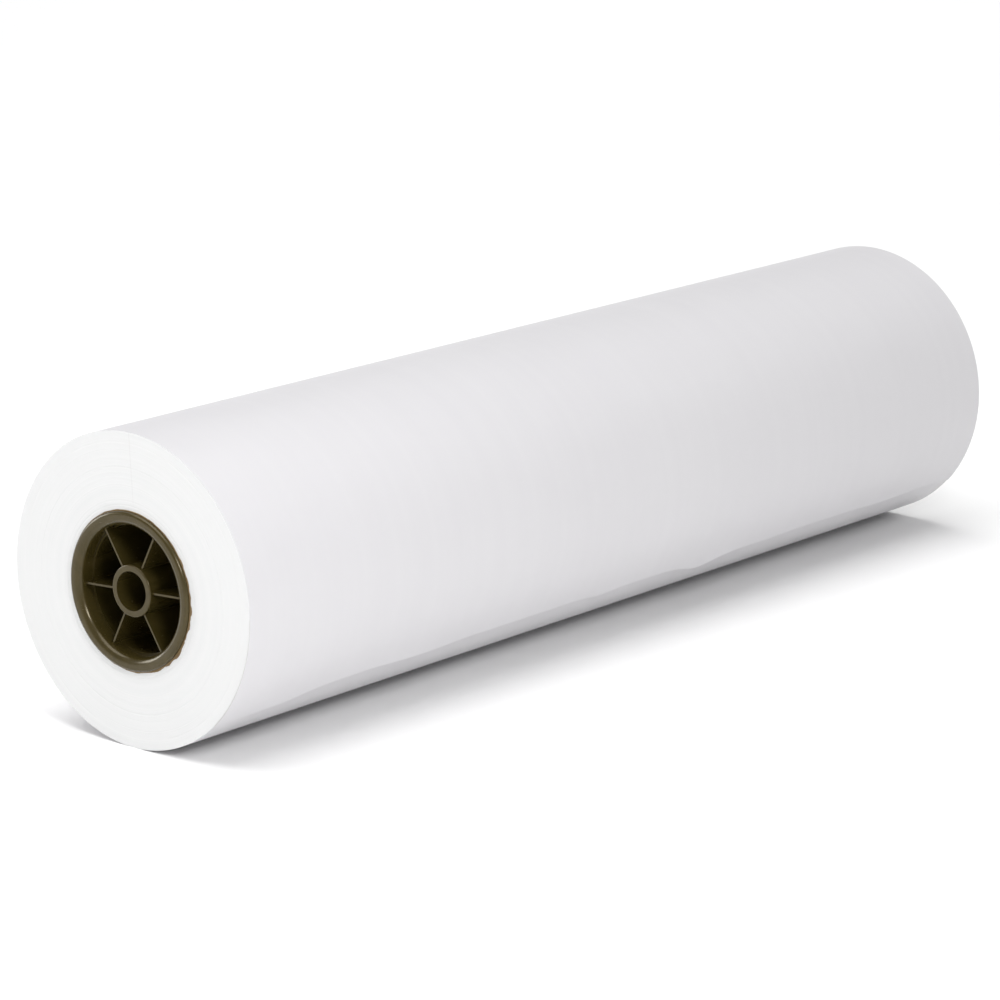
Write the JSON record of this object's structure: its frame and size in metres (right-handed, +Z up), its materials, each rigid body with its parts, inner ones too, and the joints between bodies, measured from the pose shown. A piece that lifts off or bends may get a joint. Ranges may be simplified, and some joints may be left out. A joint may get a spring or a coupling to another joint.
{
  "type": "roll of sign vinyl",
  "caption": "Roll of white adhesive sign vinyl on a cardboard core, with a moulded spoked plug in each end and a loose tail whose film peels from its liner.",
  "frame": {"origin": "on the roll's axis, at mid-length", "axes": "+X along the roll's axis towards the right plug, +Z up as the roll lies on its side, -Y towards the side where the tail lies"},
  "size_m": [0.6906, 0.176, 0.1757],
  "materials": {
    "core_board": "matt, spiral wound",
    "start_tape": "matt",
    "white_vinyl": "satin",
    "release_liner": "smooth, clay coated",
    "plug_moulding": "glossy moulded"
  },
  "bodies": {
    "roll": {"cardboard_core": "core_board", "core_start_tape": "start_tape", "wound_web": "white_vinyl"},
    "tail": {"tail_liner": "release_liner", "tail_film": "white_vinyl"},
    "lip": {"film_lip": "white_vinyl"},
    "left_plug": {"left_plug": "plug_moulding"},
    "right_plug": {"right_plug": "plug_moulding"}
  },
  "joints": [
    {"name": "tail_lift", "type": "hinge", "parent": "roll", "child": "tail", "pos_m": [0, -0.088, 0], "axis": [-1, 0, 0], "range_deg": [0, 60]},
    {"name": "film_peel", "type": "hinge", "parent": "tail", "child": "lip", "pos_m": [0, -0.08085, -0.03545], "axis": [-1, 0, 0], "range_deg": [0, 120]},
    {"name": "left_plug_pull", "type": "slide", "parent": "roll", "child": "left_plug", "axis": [-1, 0, 0], "range_m": [0, 0.05]},
    {"name": "right_plug_pull", "type": "slide", "parent": "roll", "child": "right_plug", "axis": [1, 0, 0], "range_m": [0, 0.05]}
  ]
}
